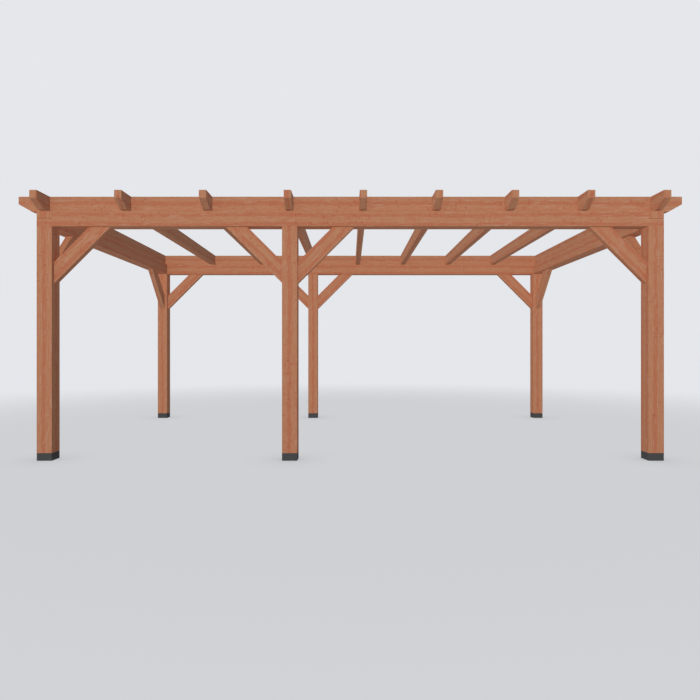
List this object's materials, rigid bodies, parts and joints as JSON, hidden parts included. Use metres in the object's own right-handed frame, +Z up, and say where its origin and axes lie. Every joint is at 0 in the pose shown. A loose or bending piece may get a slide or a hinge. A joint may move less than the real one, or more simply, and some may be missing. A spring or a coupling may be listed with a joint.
{
  "type": "timber pergola patio cover",
  "caption": "Free-standing open timber pergola: square posts on dark feet, half-lapped ring beams, rafters with slope-cut tails, blocking between them and knee braces.",
  "frame": {"origin": "on the ground, under the middle of the plan", "axes": "+X along the long side to the right as seen from the front, +Y from the front to the rear, +Z up"},
  "size_m": [6.55, 4.05, 2.6],
  "materials": {
    "timber": "matte",
    "foot": "matte"
  },
  "bodies": {
    "root": {"foot_front_left": "foot", "foot_front_middle": "foot", "foot_front_right": "foot", "foot_rear_left": "foot", "foot_rear_middle": "foot", "foot_rear_right": "foot", "post_front_left": "timber", "post_front_middle": "timber", "post_front_right": "timber", "post_rear_left": "timber", "post_rear_middle": "timber", "post_rear_right": "timber", "ring_beam_front_left": "timber", "ring_beam_front_right": "timber", "ring_beam_rear_left": "timber", "ring_beam_rear_right": "timber", "ring_beam_left": "timber", "ring_beam_right": "timber", "rafter_1": "timber", "rafter_2": "timber", "rafter_3": "timber", "rafter_4": "timber", "rafter_5": "timber", "rafter_6": "timber", "rafter_7": "timber", "rafter_8": "timber", "rafter_9": "timber", "blocking_front": "timber", "blocking_rear": "timber", "stub_front_left": "timber", "stub_front_right": "timber", "stub_rear_left": "timber", "stub_rear_right": "timber", "brace_front_left": "timber", "brace_front_middle_left": "timber", "brace_front_middle_right": "timber", "brace_front_right": "timber", "brace_rear_left": "timber", "brace_rear_middle_left": "timber", "brace_rear_middle_right": "timber", "brace_rear_right": "timber", "brace_left_front": "timber", "brace_left_rear": "timber", "brace_right_front": "timber", "brace_right_rear": "timber"}
  },
  "joints": []
}
